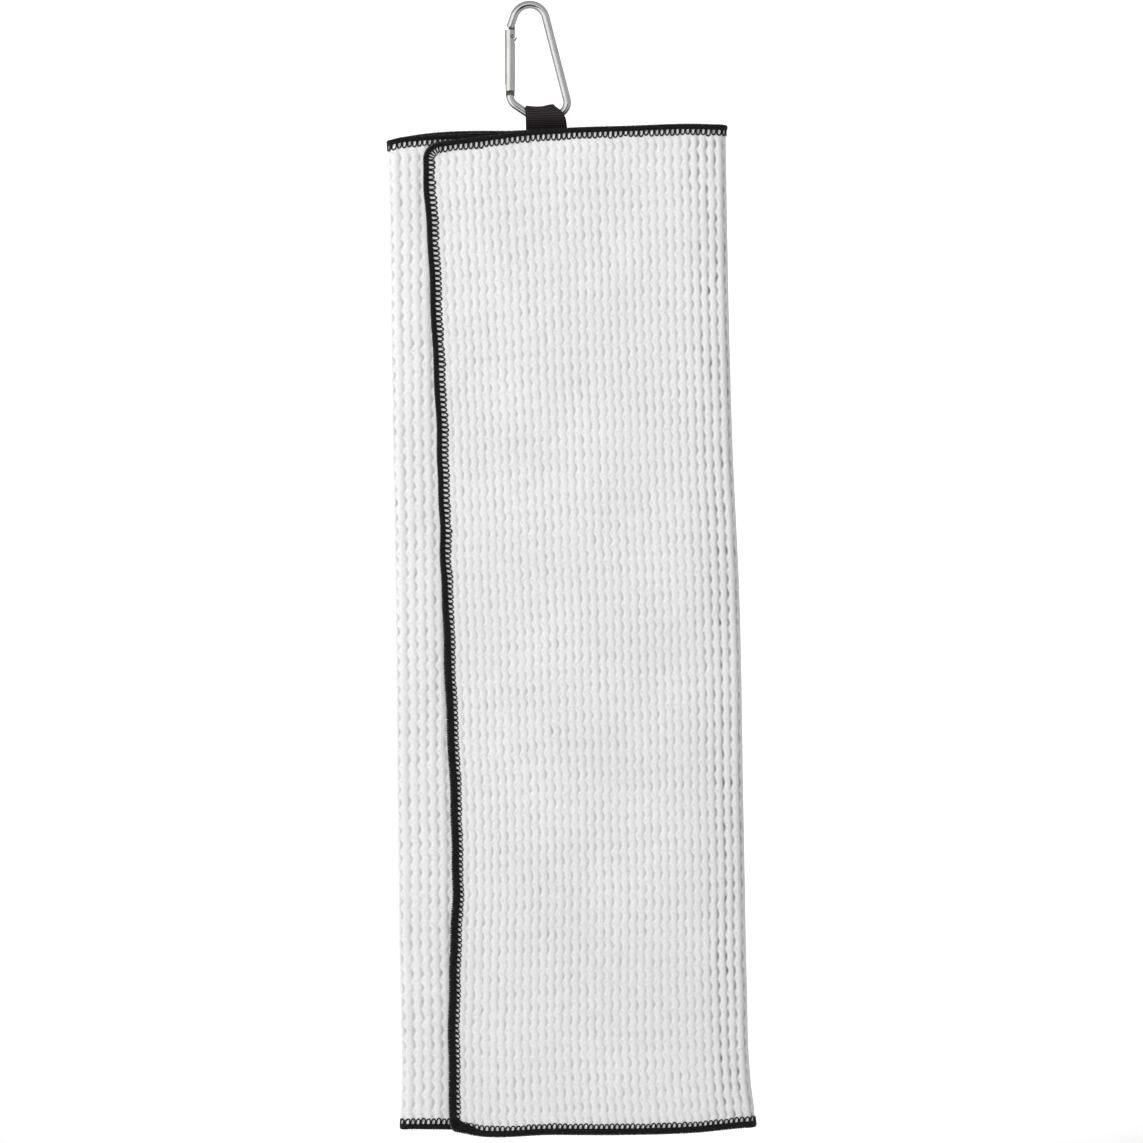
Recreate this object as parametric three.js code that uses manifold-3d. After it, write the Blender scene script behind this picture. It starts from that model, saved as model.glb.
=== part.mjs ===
// A tri-fold waffle-weave golf towel, hanging by its webbing loop from a D-shaped snap hook.
// Millimetres, +Z up, +X to the right and +Y to the back when the folded front faces the viewer.
// Origin: the inside top of the snap hook's crown, where a bag ring or a peg bears on it.
import * as THREE from "three";
import { mergeVertices } from "three/addons/utils/BufferGeometryUtils.js";
import Module from "manifold-3d";

const wasm = await Module();
wasm.setup();

// ---- Driving dimensions ----------------------------------------------------------------------

const gap = 0.3;                    // clearance between pieces that touch on the real object

// Snap hook, bent from round aluminium rod into an asymmetric D.
const rodRadius = 1.95;
const rodSides = 16;
const rodSteps = 110;
const crownRadius = 8.2;            // centreline radius of the top arc
const crownCentre = [0, -(crownRadius - rodRadius)];
const gateX = -9.85;                // centreline of the gate side
const gateEndZ = -9.6;              // where the rod ends above the gate
const noseEndZ = -43.25;            // where the rod ends below the gate
const barZ = -53.05;                // centreline height of the bottom bar that carries the loop
const spineBendRadius = 6.0;
const spineBendX = 12.75;
const barLeftRadius = 7.0;
const barLeftX = 1.8;
const armSlope = THREE.MathUtils.degToRad(34);
const noseBendRadius = 6.4;

// Gate: a tube with a slot at each end, riveted to a flattened tongue of the rod.
const gateRadius = 2.5;
const gateBoreRadius = 1.45;
const gateTopZ = -10.75;
const gateBottomZ = -41.25;
const gateSides = 24;
const pivotX = -8.65;
const pivotZ = -14.0;
const tongueThickness = 1.6;
const slotWidth = tongueThickness + 2 * gap;
const hingeSlotEndZ = -17.4;
const hingeSlotWall = 1.1;
const noseSlotEndZ = -38.0;
const noseSlotWall = 0.75;
const rivetRadius = 0.65;
const rivetHeadRadius = 1.05;
const rivetHalfLength = 2.45;
const rivetHeadDepth = 0.5;
const rivetHoleClearance = 0.15;
const hingeTongueRadius = 1.25;     // round end of the tongue about the rivet
const hingeTongueSide = 0.75;       // tongue's reach to the left of the centreline
const noseTongueReach = 1.8;        // tongue's reach to the left of the centreline
const noseTongueTip = 0.7;          // clearance under the end of the gate's lower slot
const noseTongueBevel = 0.8;
const springWireRadius = 0.3;
const springFootZ = -33.0;          // lower end of the spring wire in the gate's bore
const springReach = 2.05;           // how far it comes out of the hinge slot, past the pivot

// Webbing loop: black ribbed strap folded round the bottom bar and sewn over the towel's top edge.
const strapThickness = 1.1;
const loopInnerRadius = 3.65;
const strapLeftX = -1.8;
const strapRightX = 18.4;
const strapTailZ = -78.0;
const tackZ = [-70.8, -75.2];       // two bar tacks through both tails and the back panel
const tackLength = 14.0;
const tackHeight = 1.4;
const tackProud = 0.35;             // the thread stands this far out of the webbing

// Towel: one square sheet, overlocked on its four sides and folded in three.
const clothThickness = 2.0;
const edgingWidth = 6.5;
const edgingWall = 0.4;
const edgingThickness = clothThickness + 2 * (gap + edgingWall);
const towelTilt = THREE.MathUtils.degToRad(1);
const seamX = 8.2;                  // the towel hangs tilted about the middle of the loop's seam
const seamZ = -61.5;
const towelTop = -60.5;
const towelBottom = -560.5;
const leftOuterX = -71.7;
const rightOuterX = 100.8;
const frontEdgeX = -49.5;
const innerEdgeX = 92.5;
const cornerRadius = 9.0;
const backY = 3.0;
const innerY = -2.2;
const frontY = -6.0;

// ---- Worked out from the driving dimensions --------------------------------------------------

const leftFoldRadius = (backY - innerY) / 2;
const leftFoldY = (backY + innerY) / 2;
const leftFoldX = leftOuterX + leftFoldRadius + clothThickness / 2;
const rightFoldRadius = (backY - frontY) / 2;
const rightFoldY = (backY + frontY) / 2;
const rightFoldX = rightOuterX - rightFoldRadius - clothThickness / 2;
const seamRow = { x: (strapLeftX + strapRightX) / 2, z: towelTop + 0.5 };

// ---- Materials -------------------------------------------------------------------------------

const aluminium = new THREE.MeshStandardMaterial({ color: 0xc2c3c1, roughness: 0.35, metalness: 1 });
const steel = new THREE.MeshStandardMaterial({ color: 0x8d8d88, roughness: 0.4, metalness: 1 });
const waffleCloth = new THREE.MeshStandardMaterial({ color: 0xecebea, roughness: 0.95 });
const blackThread = new THREE.MeshStandardMaterial({ color: 0x171516, roughness: 0.8 });
const blackWebbing = new THREE.MeshStandardMaterial({ color: 0x1d1a1b, roughness: 0.75 });

// ---- Joining and cutting ---------------------------------------------------------------------

function solidFrom(geometry) {
  const bare = new THREE.BufferGeometry();
  bare.setAttribute("position", geometry.getAttribute("position"));
  bare.setIndex(geometry.getIndex());
  const merged = mergeVertices(bare, 1e-4);
  const vertProperties = new Float32Array(merged.getAttribute("position").array);
  const triVerts = new Uint32Array(merged.getIndex().array);
  return new wasm.Manifold(new wasm.Mesh({ numProp: 3, vertProperties, triVerts }));
}

function geometryFrom(solid) {
  const mesh = solid.getMesh();
  const geometry = new THREE.BufferGeometry();
  geometry.setAttribute("position", new THREE.BufferAttribute(new Float32Array(mesh.vertProperties), 3));
  geometry.setIndex(new THREE.BufferAttribute(new Uint32Array(mesh.triVerts), 1));
  geometry.computeVertexNormals();
  return geometry;
}

function named(name, geometry, material) {
  const mesh = new THREE.Mesh(geometry, material);
  mesh.name = name;
  return mesh;
}

// ---- Basic solids ----------------------------------------------------------------------------

// An outline drawn in X and Z, given a thickness centred on the height y.
function slab(shape, thickness, y, curveSegments = 8) {
  const settings = { depth: thickness, bevelEnabled: false, curveSegments };
  const geometry = new THREE.ExtrudeGeometry(shape, settings);
  geometry.rotateX(Math.PI / 2);
  geometry.translate(0, y + thickness / 2, 0);
  return solidFrom(geometry);
}

function block(x0, x1, y0, y1, z0, z1) {
  const geometry = new THREE.BoxGeometry(x1 - x0, y1 - y0, z1 - z0);
  geometry.translate((x0 + x1) / 2, (y0 + y1) / 2, (z0 + z1) / 2);
  return solidFrom(geometry);
}

// A round bar along Y, for the rivet and its holes.
function crossBar(radius, halfLength, x, z, sides = 20) {
  const geometry = new THREE.CylinderGeometry(radius, radius, 2 * halfLength, sides);
  geometry.translate(x, 0, z);
  return solidFrom(geometry);
}

// A round bar along Z, for the gate and its bore.
function uprightBar(radius, x, z0, z1, sides) {
  const geometry = new THREE.CylinderGeometry(radius, radius, z1 - z0, sides);
  geometry.rotateX(Math.PI / 2);
  geometry.translate(x, 0, (z0 + z1) / 2);
  return solidFrom(geometry);
}

// A curve drawn in X and Z, lifted into space at y = 0.
class UprightCurve extends THREE.Curve {
  constructor(path) {
    super();
    this.path = path;
  }

  getPoint(t) {
    const point = this.path.getPoint(t);
    return new THREE.Vector3(point.x, 0, point.y);
  }
}

function roundRod(curve, radius, steps, sides) {
  const section = new THREE.Shape();
  section.absarc(0, 0, radius, 0, 2 * Math.PI, false);
  const settings = { extrudePath: curve, steps, curveSegments: sides / 2, bevelEnabled: false };
  return solidFrom(new THREE.ExtrudeGeometry(section, settings));
}

// ---- Snap hook -------------------------------------------------------------------------------

// Angle at which the line from a point outside a circle touches it; side is +1 or -1.
function touchAngle(pointX, pointZ, centre, radius, side) {
  const dx = pointX - centre[0];
  const dz = pointZ - centre[1];
  return Math.atan2(dz, dx) + side * Math.acos(radius / Math.hypot(dx, dz));
}

function hookCentreline() {
  const spineBend = [spineBendX, barZ + spineBendRadius];
  const reach = Math.hypot(spineBend[0] - crownCentre[0], crownCentre[1] - spineBend[1]);
  const lean = Math.atan2(spineBend[0] - crownCentre[0], crownCentre[1] - spineBend[1]);
  const spineAngle = lean - Math.asin((crownRadius - spineBendRadius) / reach);
  const crownStart = touchAngle(gateX, gateEndZ, crownCentre, crownRadius, -1);
  const armEnd = -Math.PI / 2 - armSlope;
  const path = new THREE.Path();
  path.moveTo(gateX, gateEndZ);
  path.lineTo(
    crownCentre[0] + crownRadius * Math.cos(crownStart),
    crownCentre[1] + crownRadius * Math.sin(crownStart),
  );
  path.absarc(crownCentre[0], crownCentre[1], crownRadius, crownStart, spineAngle, true);
  path.absarc(spineBend[0], spineBend[1], spineBendRadius, spineAngle, -Math.PI / 2, true);
  path.absarc(barLeftX, barZ + barLeftRadius, barLeftRadius, -Math.PI / 2, armEnd, true);
  path.absarc(gateX + noseBendRadius, noseEndZ, noseBendRadius, armEnd, -Math.PI, true);
  return new UprightCurve(path);
}

// The flattened upper end of the rod, inside the gate's slot, with the hole for the rivet.
function hingeTongue() {
  const left = gateX - hingeTongueSide;
  const shape = new THREE.Shape();
  shape.moveTo(left, gateEndZ + 1.2);
  shape.lineTo(left, pivotZ + 2.0);
  shape.lineTo(pivotX - hingeTongueRadius, pivotZ);
  shape.absarc(pivotX, pivotZ, hingeTongueRadius, -Math.PI, 0, false);
  shape.lineTo(pivotX + hingeTongueRadius, gateEndZ + 0.6);
  const hole = crossBar(rivetRadius + rivetHoleClearance, 2, pivotX, pivotZ);
  return slab(shape, tongueThickness, 0).subtract(hole);
}

// The flattened lower end of the rod, which the closed gate's lower slot drops over.
function noseTongue() {
  const left = gateX - noseTongueReach;
  const right = gateX + gateRadius - noseSlotWall - gap;
  const top = noseSlotEndZ - noseTongueTip;
  const shape = new THREE.Shape();
  shape.moveTo(left, noseEndZ - 1.0);
  shape.lineTo(right, noseEndZ - 1.0);
  shape.lineTo(right, top);
  shape.lineTo(left + noseTongueBevel, top);
  shape.lineTo(left, top - noseTongueBevel);
  return slab(shape, tongueThickness, 0);
}

function snapHookBody() {
  const rod = roundRod(hookCentreline(), rodRadius, rodSteps, rodSides);
  return geometryFrom(rod.add(hingeTongue()).add(noseTongue()));
}

function gateSleeve() {
  const left = gateX - gateRadius;
  const right = gateX + gateRadius;
  const half = slotWidth / 2;
  let tube = uprightBar(gateRadius, gateX, gateBottomZ, gateTopZ, gateSides);
  tube = tube.subtract(uprightBar(gateBoreRadius, gateX, gateBottomZ - 1, hingeSlotEndZ + 1, gateSides));
  tube = tube.subtract(block(left + hingeSlotWall, right + 1, -half, half, hingeSlotEndZ, gateTopZ + 1));
  tube = tube.subtract(block(left - 1, right - noseSlotWall, -half, half, gateBottomZ - 1, noseSlotEndZ));
  tube = tube.subtract(crossBar(rivetRadius + gap / 2, gateRadius + 1, pivotX, pivotZ));
  for (const side of [-1, 1]) {
    const recess = new THREE.CylinderGeometry(rivetHeadRadius + gap / 2, rivetHeadRadius + gap / 2, 2, 20);
    recess.translate(pivotX, side * (rivetHalfLength - rivetHeadDepth - gap / 2 + 1), pivotZ);
    tube = tube.subtract(solidFrom(recess));
  }
  return geometryFrom(tube);
}

function gateRivet() {
  let rivet = crossBar(rivetRadius, rivetHalfLength - 0.1, pivotX, pivotZ);
  for (const side of [-1, 1]) {
    const head = new THREE.CylinderGeometry(rivetHeadRadius, rivetHeadRadius, rivetHeadDepth, 20);
    head.translate(pivotX, side * (rivetHalfLength - rivetHeadDepth / 2), pivotZ);
    rivet = rivet.add(solidFrom(head));
  }
  return geometryFrom(rivet);
}

// The bent wire that shuts the gate: up the bore and out of the hinge slot beside the tongue.
function gateSpring() {
  const route = new THREE.CatmullRomCurve3([
    new THREE.Vector3(gateX, 0, springFootZ),
    new THREE.Vector3(gateX, 0, -26.0),
    new THREE.Vector3(gateX + 0.1, 0, -19.5),
    new THREE.Vector3(gateX + 1.0, 0, pivotZ - 2.9),
    new THREE.Vector3(pivotX + 1.4, 0, pivotZ - 1.75),
    new THREE.Vector3(pivotX + springReach, 0, pivotZ - 0.4),
  ]);
  return geometryFrom(roundRod(route, springWireRadius, 28, 8));
}

// ---- Webbing loop ----------------------------------------------------------------------------

// Middle line of the strap in Y and Z: up the front tail, round the bar and down the back tail.
function strapLine() {
  const radius = loopInnerRadius + strapThickness / 2;
  const offset = edgingThickness / 2 + gap + strapThickness / 2;
  const frontY0 = backY - offset;
  const backY0 = backY + offset;
  const centre = [0, barZ];
  const front = touchAngle(frontY0, seamRow.z, centre, radius, -1);
  const back = touchAngle(backY0, seamRow.z, centre, radius, 1);
  const points = [new THREE.Vector2(frontY0, strapTailZ), new THREE.Vector2(frontY0, seamRow.z)];
  const turns = 28;
  const sweep = 2 * Math.PI + front - back;
  for (let i = 0; i <= turns; i += 1) {
    const angle = front - (sweep * i) / turns;
    points.push(new THREE.Vector2(radius * Math.cos(angle), barZ + radius * Math.sin(angle)));
  }
  points.push(new THREE.Vector2(backY0, seamRow.z), new THREE.Vector2(backY0, strapTailZ));
  return points;
}

// The same line moved sideways by a distance, mitred at each bend.
function offsetLine(points, distance) {
  return points.map((point, i) => {
    const before = points[Math.max(i - 1, 0)];
    const after = points[Math.min(i + 1, points.length - 1)];
    const into = point.clone().sub(before).normalize();
    const out = after.clone().sub(point).normalize();
    const along = into.clone().add(out).normalize();
    const atEnd = i === 0 || i === points.length - 1;
    const shift = distance / (atEnd ? 1 : Math.max(along.dot(out), 0.5));
    return new THREE.Vector2(point.x - along.y * shift, point.y + along.x * shift);
  });
}

function strapSolid() {
  const line = strapLine();
  const outer = offsetLine(line, strapThickness / 2);
  const inner = offsetLine(line, -strapThickness / 2).reverse();
  const shape = new THREE.Shape([...outer, ...inner]);
  const depth = strapRightX - strapLeftX;
  const geometry = new THREE.ExtrudeGeometry(shape, { depth, bevelEnabled: false });
  geometry.applyMatrix4(new THREE.Matrix4().makeBasis(
    new THREE.Vector3(0, 1, 0),
    new THREE.Vector3(0, 0, 1),
    new THREE.Vector3(1, 0, 0),
  ));
  geometry.translate(strapLeftX, 0, 0);
  return solidFrom(geometry);
}

// The right-hand corner that the hook's bend presses down, taken off both layers.
function strapCorner() {
  const shape = new THREE.Shape();
  shape.moveTo(11.7, barZ + 6);
  shape.lineTo(11.7, barZ + 5);
  shape.lineTo(15.6, barZ + 0.5);
  shape.lineTo(16.5, barZ - 1.3);
  shape.lineTo(strapRightX, barZ - 6.5);
  shape.lineTo(strapRightX + 2, barZ - 6.5);
  shape.lineTo(strapRightX + 2, barZ + 6);
  return slab(shape, 20, 0);
}

function tackBlock(z, grow) {
  const half = tackLength / 2 + grow;
  const offset = edgingThickness / 2 + gap + strapThickness + tackProud;
  const reach = grow > 0 ? offset + 1 : offset;
  const high = z + tackHeight / 2 + grow;
  const low = z - tackHeight / 2 - grow;
  return block(seamRow.x - half, seamRow.x + half, backY - reach, backY + reach, low, high);
}

function webbingLoop() {
  let strap = strapSolid().subtract(strapCorner());
  for (const z of tackZ) {
    strap = strap.subtract(tackBlock(z, gap / 2));
  }
  return geometryFrom(strap);
}

// ---- Towel panels ----------------------------------------------------------------------------

// A panel's outline, inset on its overlocked sides. The free side has the rounded corners.
// foldX is the fold line that the panel ends at, and freeX its free edge, if it has one.
function panelShape(foldX, freeX, inset, foldOver) {
  const top = towelTop - inset;
  const bottom = towelBottom + inset;
  const toFree = Math.sign(freeX - foldX);
  const fold = foldX - toFree * foldOver;
  const free = freeX - toFree * inset;
  const radius = cornerRadius - inset;
  const shape = new THREE.Shape();
  shape.moveTo(fold, top);
  shape.lineTo(fold, bottom);
  if (radius > 0.2) {
    const x = free - toFree * radius;
    shape.lineTo(x, bottom);
    shape.absarc(x, bottom + radius, radius, -Math.PI / 2, toFree > 0 ? 0 : -Math.PI, toFree < 0);
    shape.absarc(x, top - radius, radius, toFree > 0 ? 0 : Math.PI, Math.PI / 2, toFree < 0);
  } else {
    shape.lineTo(free, bottom);
    shape.lineTo(free, top);
  }
  return shape;
}

function flapCloth(foldX, freeX, y) {
  return slab(panelShape(foldX, freeX, edgingWall + gap, -gap / 2), clothThickness, y);
}

// The overlock round a flap's three raw sides: a channel over the cloth, cut into three runs.
function flapEdging(foldX, freeX, y) {
  const outer = slab(panelShape(foldX, freeX, 0, -gap / 2), edgingThickness, y);
  const window = slab(panelShape(foldX, freeX, edgingWidth, 5), edgingThickness + 2, y);
  const slot = slab(panelShape(foldX, freeX, edgingWall, 5), clothThickness + 2 * gap, y);
  const ring = outer.subtract(window).subtract(slot);
  const toFree = Math.sign(freeX - foldX);
  const cut = freeX - toFree * (cornerRadius + 1);
  const mid = (towelTop + towelBottom) / 2;
  const freeEnd = toFree > 0 ? 1 : 0;
  const run = [Math.min(foldX, cut) - 10, Math.max(foldX, cut) + 10];
  run[freeEnd] = cut - toFree * gap;
  const side = [Math.min(freeX, cut), Math.max(freeX, cut)];
  side[freeEnd] += toFree * 5;
  const y0 = y - edgingThickness;
  const y1 = y + edgingThickness;
  return {
    top: ring.intersect(block(run[0], run[1], y0, y1, mid, towelTop + 5)),
    bottom: ring.intersect(block(run[0], run[1], y0, y1, towelBottom - 5, mid)),
    side: ring.intersect(block(side[0], side[1], y0, y1, towelBottom - 5, towelTop + 5)),
  };
}

function backCloth() {
  const inset = edgingWall + gap;
  const x0 = leftFoldX + gap / 2;
  const x1 = rightFoldX - gap / 2;
  const half = clothThickness / 2;
  let cloth = block(x0, x1, backY - half, backY + half, towelBottom + inset, towelTop - inset);
  for (const z of tackZ) {
    cloth = cloth.subtract(tackBlock(z, gap / 2));
  }
  return cloth;
}

// A straight run of overlock over the back panel's top (up = 1) or bottom (up = -1) edge.
function backEdging(up) {
  const edge = up > 0 ? towelTop : towelBottom;
  const x0 = leftFoldX + gap / 2;
  const x1 = rightFoldX - gap / 2;
  const half = edgingThickness / 2;
  const slotHalf = clothThickness / 2 + gap;
  const inner = edge - up * edgingWidth;
  const slotEnd = edge - up * edgingWall;
  const body = block(x0, x1, backY - half, backY + half, Math.min(edge, inner), Math.max(edge, inner));
  const past = inner - up;
  const low = Math.min(slotEnd, past);
  const high = Math.max(slotEnd, past);
  return body.subtract(block(x0 - 1, x1 + 1, backY - slotHalf, backY + slotHalf, low, high));
}

// Half a tube standing on end: the cloth, its edging and the edging's slot all turn like this.
function halfTube(x, y, radius, thickness, side, z0, z1) {
  const outer = radius + thickness / 2;
  const inner = radius - thickness / 2;
  const start = side > 0 ? -Math.PI / 2 : Math.PI / 2;
  const shape = new THREE.Shape();
  shape.absarc(x, y, outer, start, start + Math.PI, false);
  shape.absarc(x, y, inner, start + Math.PI, start, true);
  const settings = { depth: z1 - z0, bevelEnabled: false, curveSegments: 10 };
  const geometry = new THREE.ExtrudeGeometry(shape, settings);
  geometry.translate(0, 0, z0);
  return solidFrom(geometry);
}

// The turn of the sheet at a fold line, side = 1 at the right fold and -1 at the left one.
function foldPieces(x, y, radius, side) {
  const inset = edgingWall + gap;
  const at = x + side * (gap / 2);
  const cloth = halfTube(at, y, radius, clothThickness, side, towelBottom + inset, towelTop - inset);
  const runs = [[towelTop - edgingWidth, towelTop], [towelBottom, towelBottom + edgingWidth]];
  const slots = [[runs[0][0] - 1, towelTop - edgingWall], [towelBottom + edgingWall, runs[1][1] + 1]];
  const slotThickness = clothThickness + 2 * gap;
  const edging = runs.map((run, i) => {
    const solid = halfTube(at, y, radius, edgingThickness, side, run[0], run[1]);
    return solid.subtract(halfTube(at, y, radius, slotThickness, side, slots[i][0], slots[i][1]));
  });
  return { cloth, top: edging[0], bottom: edging[1] };
}

// ---- Assembly --------------------------------------------------------------------------------

const golfTowel = new THREE.Group();

const snapHook = new THREE.Group();
snapHook.add(named("snap_hook_body", snapHookBody(), aluminium));
snapHook.add(named("gate_sleeve", gateSleeve(), aluminium));
snapHook.add(named("gate_rivet", gateRivet(), aluminium));
snapHook.add(named("gate_spring", gateSpring(), steel));
golfTowel.add(snapHook);

// Everything below the hook hangs together, tilted a little about the middle of the loop's seam.
const towel = new THREE.Group();
const place = new THREE.Matrix4().makeTranslation(seamX, 0, seamZ);
place.multiply(new THREE.Matrix4().makeRotationY(-towelTilt));
place.multiply(new THREE.Matrix4().makeTranslation(-seamX, 0, -seamZ));
towel.applyMatrix4(place);

function addSolid(name, solid, material) {
  towel.add(named(name, geometryFrom(solid), material));
}

towel.add(named("webbing_loop", webbingLoop(), blackWebbing));
tackZ.forEach((z, i) => addSolid(`loop_bar_tack_${i + 1}`, tackBlock(z, 0), blackThread));

addSolid("back_panel_cloth", backCloth(), waffleCloth);
addSolid("back_panel_top_edging", backEdging(1), blackThread);
addSolid("back_panel_bottom_edging", backEdging(-1), blackThread);

const folds = [
  ["left_fold", foldPieces(leftFoldX, leftFoldY, leftFoldRadius, -1)],
  ["right_fold", foldPieces(rightFoldX, rightFoldY, rightFoldRadius, 1)],
];
for (const [name, fold] of folds) {
  addSolid(`${name}_cloth`, fold.cloth, waffleCloth);
  addSolid(`${name}_top_edging`, fold.top, blackThread);
  addSolid(`${name}_bottom_edging`, fold.bottom, blackThread);
}

const flaps = [
  ["inner_flap", leftFoldX, innerEdgeX, innerY],
  ["front_flap", rightFoldX, frontEdgeX, frontY],
];
for (const [name, foldX, freeX, y] of flaps) {
  addSolid(`${name}_cloth`, flapCloth(foldX, freeX, y), waffleCloth);
  const edging = flapEdging(foldX, freeX, y);
  addSolid(`${name}_top_edging`, edging.top, blackThread);
  addSolid(`${name}_side_edging`, edging.side, blackThread);
  addSolid(`${name}_bottom_edging`, edging.bottom, blackThread);
}
golfTowel.add(towel);

export default golfTowel;
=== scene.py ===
import math

import bmesh
import bpy
import numpy as np
from mathutils import Matrix, Vector


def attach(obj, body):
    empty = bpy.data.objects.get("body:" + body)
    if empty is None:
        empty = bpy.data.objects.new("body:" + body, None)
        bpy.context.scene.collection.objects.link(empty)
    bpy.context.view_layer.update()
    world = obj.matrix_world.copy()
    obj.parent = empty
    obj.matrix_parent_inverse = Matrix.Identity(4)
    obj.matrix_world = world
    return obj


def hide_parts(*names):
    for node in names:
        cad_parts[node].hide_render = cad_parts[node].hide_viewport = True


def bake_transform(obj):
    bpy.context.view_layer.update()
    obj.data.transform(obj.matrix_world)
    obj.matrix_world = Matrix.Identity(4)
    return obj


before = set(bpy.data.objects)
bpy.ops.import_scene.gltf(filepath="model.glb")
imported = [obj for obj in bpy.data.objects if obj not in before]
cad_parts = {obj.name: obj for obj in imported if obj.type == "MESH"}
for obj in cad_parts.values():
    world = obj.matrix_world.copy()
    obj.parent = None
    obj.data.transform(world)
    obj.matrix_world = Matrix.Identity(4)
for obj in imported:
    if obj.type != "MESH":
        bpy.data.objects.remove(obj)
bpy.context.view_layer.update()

# ---- Studio ------------------------------------------------------------------------------------
# The towel hangs free in front of a plain white cove, square on to the camera.
# A soft lamp from the upper left rakes the weave, a weak one on the right fills its shadows, and
# another rakes the back.


def colour(code):
    """A sRGB hex colour as linear red, green, blue and alpha."""
    parts = [int(code[i:i + 2], 16) / 255 for i in (1, 3, 5)]
    return [c / 12.92 if c <= 0.04045 else ((c + 0.055) / 1.055) ** 2.4 for c in parts] + [1.0]


def add_node(tree, kind, inputs=None, **settings):
    """Adds one node with its settings, and fills its sockets with values or links."""
    node = tree.nodes.new(kind)
    for name, value in settings.items():
        setattr(node, name, value)
    for name, value in (inputs or {}).items():
        if isinstance(value, bpy.types.NodeSocket):
            tree.links.new(value, node.inputs[name])
        else:
            node.inputs[name].default_value = value
    return node


def worked_out(tree, operation, *values, **settings):
    """One step of arithmetic on sockets or numbers."""
    return add_node(tree, "ShaderNodeMath", dict(enumerate(values)), operation=operation,
                    **settings).outputs[0]


def moved_range(tree, value, start, end, low, high, easing="LINEAR"):
    """A value that runs from start to end, made to run from low to high and no further."""
    return add_node(tree, "ShaderNodeMapRange",
                    {"Value": value, "From Min": start, "From Max": end, "To Min": low, "To Max": high},
                    interpolation_type=easing).outputs[0]


def blank_material(name):
    """An empty material and its node tree."""
    material = bpy.data.materials.new(name)
    material.use_nodes = True
    material.node_tree.nodes.clear()
    return material, material.node_tree


def make_piece(name, vertices, faces, material):
    """A smooth-shaded mesh object from vertices in metres."""
    mesh = bpy.data.meshes.new(name)
    mesh.from_pydata(np.asarray(vertices, float).tolist(), [], faces)
    mesh.materials.append(material)
    mesh.shade_smooth()
    piece = bpy.data.objects.new(name, mesh)
    bpy.context.scene.collection.objects.link(piece)
    return piece


camera_distance = 3.0
picture_width = 0.5715
camera = bpy.data.objects.new("camera", bpy.data.cameras.new("camera"))
camera.data.sensor_width = 36.0
camera.data.lens = 36.0 * camera_distance / picture_width
camera.data.clip_end = 60.0
camera.location = (0.0209, -camera_distance, -0.2815)
camera.rotation_euler = (math.pi / 2, 0, 0)
bpy.context.scene.collection.objects.link(camera)
bpy.context.scene.camera = camera
bpy.context.scene.view_settings.view_transform = "Standard"

cove_radius, cove_floor, cove_sweep, cove_top = 7.0, -0.85, 1.5, 4.0
cove_section = [(0.0, cove_floor), (2.0, cove_floor), (4.0, cove_floor)]
for i in range(13):
    turn = math.pi / 2 * i / 12
    cove_section.append((cove_radius - cove_sweep + cove_sweep * math.sin(turn),
                         cove_floor + cove_sweep * (1 - math.cos(turn))))
cove_section.append((cove_radius, cove_top))
cove_sides, rows = 96, len(cove_section)
cove_points, cove_faces = [], []
for i in range(cove_sides):
    turn = 2 * math.pi * i / cove_sides
    cove_points += [(r * math.cos(turn), r * math.sin(turn), z) for r, z in cove_section]
    here, there = i * rows, (i + 1) % cove_sides * rows
    cove_faces += [(here + j, here + j + 1, there + j + 1, there + j) for j in range(rows - 1)]

# White painted plaster: matt, and brightest behind the towel and in a broad patch at the front left.
plaster, tree = blank_material("white painted plaster")
place = add_node(tree, "ShaderNodeNewGeometry").outputs["Position"]
heading = add_node(tree, "ShaderNodeVectorMath", {0: place}, operation="NORMALIZE").outputs[0]
behind = add_node(tree, "ShaderNodeVectorMath", {0: heading, 1: (0, 1, 0)},
                  operation="DOT_PRODUCT").outputs["Value"]
glow = moved_range(tree, behind, 0.90, 0.985, 0.36, 1.08, "SMOOTHSTEP")
ahead = add_node(tree, "ShaderNodeVectorMath", {0: heading, 1: (-0.62, -0.78, 0.08)},
                 operation="DOT_PRODUCT").outputs["Value"]
wash = moved_range(tree, ahead, 0.45, 1.0, 0.0, 0.70, "SMOOTHSTEP")
glow = worked_out(tree, "ADD", glow, wash)
lit = add_node(tree, "ShaderNodeEmission", {"Color": colour("#ffffff"), "Strength": glow})
paint = add_node(tree, "ShaderNodeBsdfDiffuse", {"Color": colour("#8c8c8c"), "Roughness": 0.5})
both = add_node(tree, "ShaderNodeAddShader", {0: lit.outputs[0], 1: paint.outputs[0]})
add_node(tree, "ShaderNodeOutputMaterial", {"Surface": both.outputs[0]})
cove = make_piece("cove", cove_points, cove_faces, plaster)

world = bpy.data.worlds.new("studio")
bpy.context.scene.world = world
world.use_nodes = True
sky = world.node_tree.nodes["Background"]
sky.inputs["Color"].default_value = colour("#f4f6f8")
sky.inputs["Strength"].default_value = 0.5

towel_middle = Vector((0.02, 0.0, -0.28))
for name, spot, size, power in [("key lamp", (-2.2, -1.8, 1.4), 0.8, 47.0),
                                ("fill lamp", (1.9, -2.4, 0.4), 1.4, 4.0),
                                ("back lamp", (-2.0, 2.0, 1.4), 0.9, 30.0)]:
    lamp = bpy.data.objects.new(name, bpy.data.lights.new(name, "AREA"))
    lamp.data.size, lamp.data.energy = size, power
    lamp.visible_camera = lamp.visible_glossy = False
    lamp.location = spot
    lamp.rotation_euler = (towel_middle - lamp.location).to_track_quat("-Z", "Y").to_euler()
    bpy.context.scene.collection.objects.link(lamp)

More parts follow.
